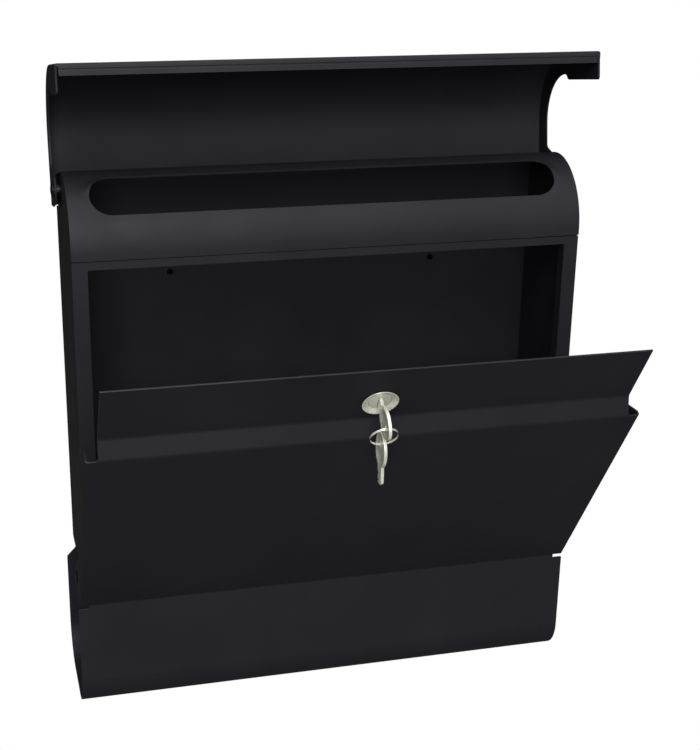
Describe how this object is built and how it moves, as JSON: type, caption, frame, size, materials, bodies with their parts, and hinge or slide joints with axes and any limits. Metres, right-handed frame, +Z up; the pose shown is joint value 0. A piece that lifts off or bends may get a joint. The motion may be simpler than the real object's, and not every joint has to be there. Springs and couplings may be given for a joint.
{
  "type": "wall mounted mailbox",
  "caption": "Wall mounted sheet steel mailbox with a curved lid over the letter slot, a locking drop-front door with keys, and an open-ended newspaper trough.",
  "frame": {"origin": "on the hanging rail's wall face, midway along the rail and 7 mm under its top edge", "axes": "+Y into the wall, -Y out of the front, +Z up, +X to the right of someone facing the mailbox"},
  "size_m": [0.3801, 0.2568, 0.4764],
  "materials": {
    "paint": "satin anthracite powder coat",
    "nickel": "bright nickel plate",
    "zinc": "zinc plate"
  },
  "bodies": {
    "body": {"rear_panel": "paint", "hanging_rail": "paint", "side_left": "paint", "side_right": "paint", "floor_panel": "paint", "front_frame": "paint", "slot_hood": "paint", "newspaper_trough": "paint", "lid_pin_left": "zinc", "lid_pin_right": "zinc", "door_pin_left": "zinc", "door_pin_right": "zinc"},
    "lid": {"lid": "paint"},
    "door": {"door": "paint", "lock_case": "nickel", "lock_nut": "zinc"},
    "plug": {"lock_plug": "nickel", "lock_cam": "zinc", "cam_screw": "zinc"},
    "key": {"key": "nickel"},
    "ring": {"key_ring": "nickel"},
    "spare_key": {"spare_key": "nickel"}
  },
  "joints": [
    {"name": "lid_hinge", "type": "hinge", "parent": "body", "child": "lid", "pos_m": [0, -0.0418, 0.029], "axis": [1, 0, 0], "range_deg": [0, 100]},
    {"name": "door_hinge", "type": "hinge", "parent": "body", "child": "door", "pos_m": [0, -0.11, -0.2374], "axis": [-1, 0, 0], "range_deg": [0, 34]},
    {"name": "plug_turn", "type": "hinge", "parent": "door", "child": "plug", "pos_m": [0, -0.23161, -0.06962], "axis": [0, -0.829, -0.5592], "range_deg": [0, 90]},
    {"name": "key_slide", "type": "slide", "parent": "plug", "child": "key", "axis": [0, -0.829, -0.5592], "range_m": [0, 0.018]},
    {"name": "ring_swing", "type": "hinge", "parent": "key", "child": "ring", "pos_m": [0, -0.24895, -0.08131], "axis": [1, 0, 0], "range_deg": [-60, 10]},
    {"name": "spare_key_swing", "type": "hinge", "parent": "ring", "child": "spare_key", "pos_m": [0, -0.23787, -0.09671], "axis": [0.999, 0.0436, 0], "range_deg": [-45, 20]}
  ]
}
